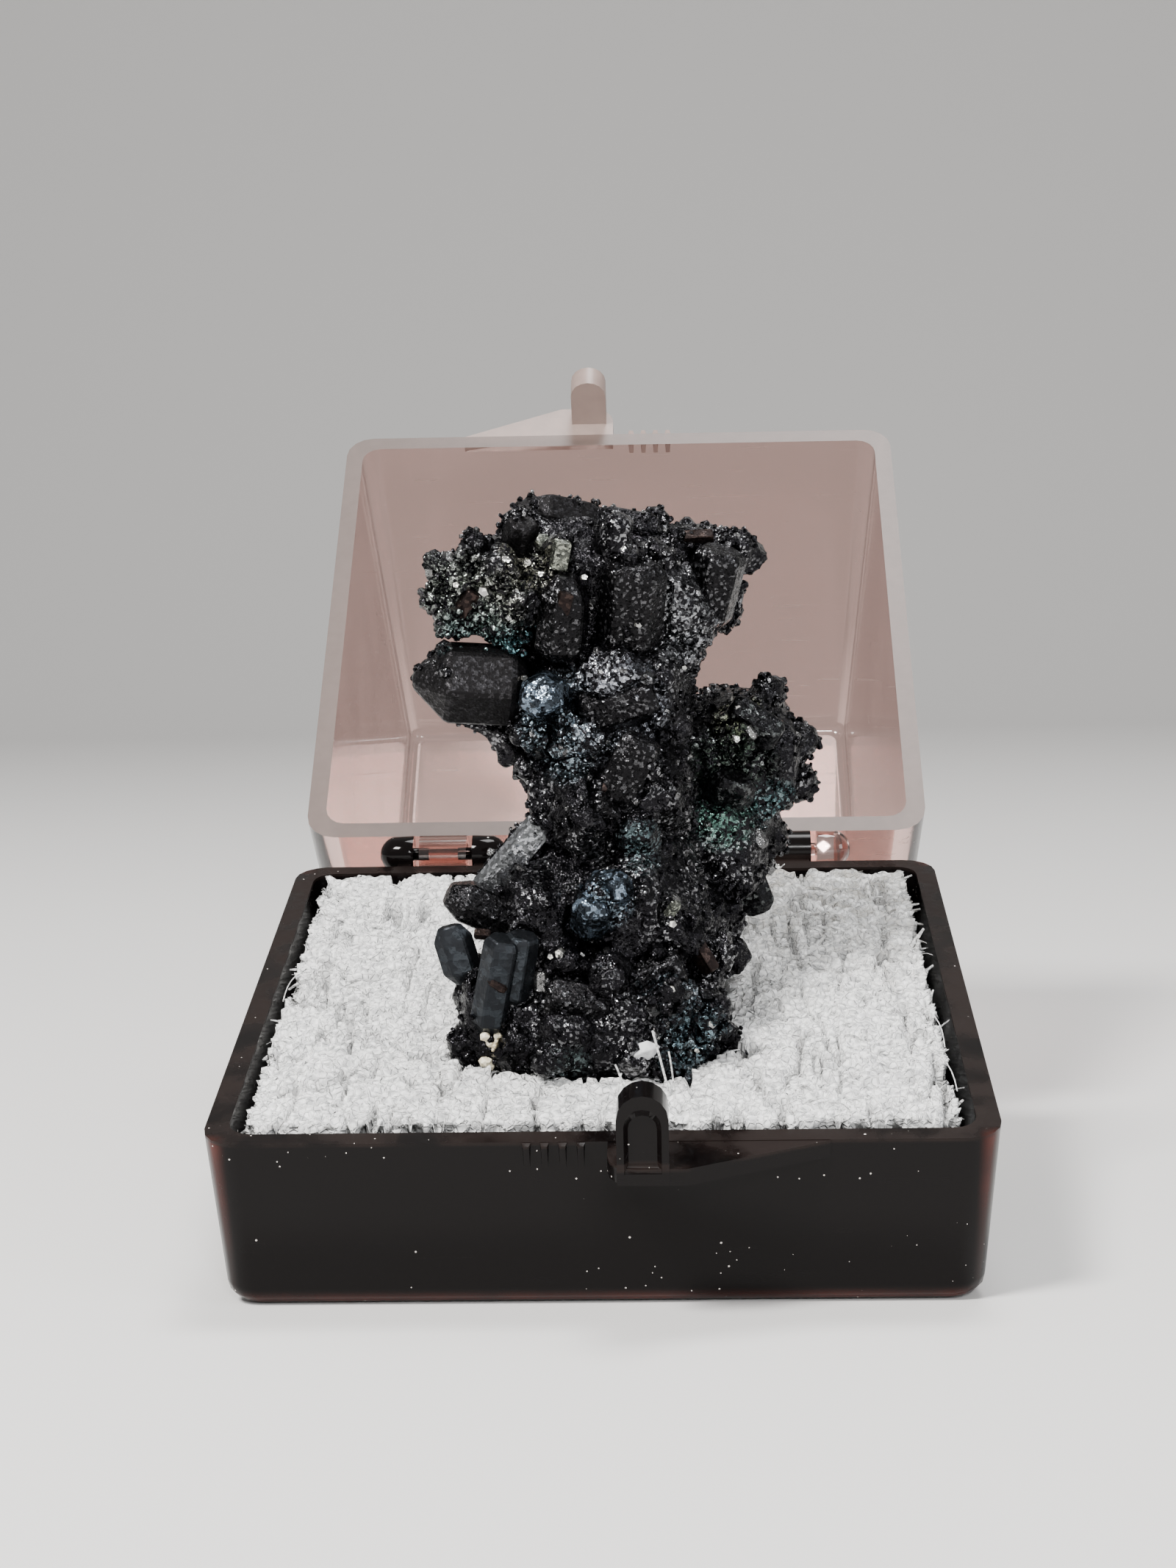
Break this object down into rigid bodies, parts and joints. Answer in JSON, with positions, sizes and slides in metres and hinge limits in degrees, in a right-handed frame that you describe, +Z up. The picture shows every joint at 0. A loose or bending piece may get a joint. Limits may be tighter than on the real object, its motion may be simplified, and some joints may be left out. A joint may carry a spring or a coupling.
{
  "type": "gaudefroyite specimen in a hinged box",
  "caption": "Black intergrown crystal cluster pressed into white foam in a small black box base, its deep clear lid swung open on its hinge.",
  "frame": {"origin": "on the surface it rests on, under the middle of the whole", "axes": "+X along the hinge to the specimen's right, +Y from the base towards the open lid, +Z up"},
  "size_m": [0.032, 0.0744, 0.0423],
  "materials": {
    "black_polystyrene": "glossy, finely scratched",
    "clear_polystyrene": "clear, faintly pink",
    "white_foam": "coarse open cells",
    "black_crystal": "submetallic druse with iridescent patches"
  },
  "bodies": {
    "base": {"box_base": "black_polystyrene", "foam_block": "white_foam", "gaudefroyite_cluster": "black_crystal"},
    "lid": {"box_lid": "clear_polystyrene"}
  },
  "joints": [
    {"name": "lid_hinge", "type": "hinge", "parent": "base", "child": "lid", "pos_m": [0, -0.00241, 0.01575], "axis": [1, 0, 0], "range_deg": [0, 151]}
  ]
}
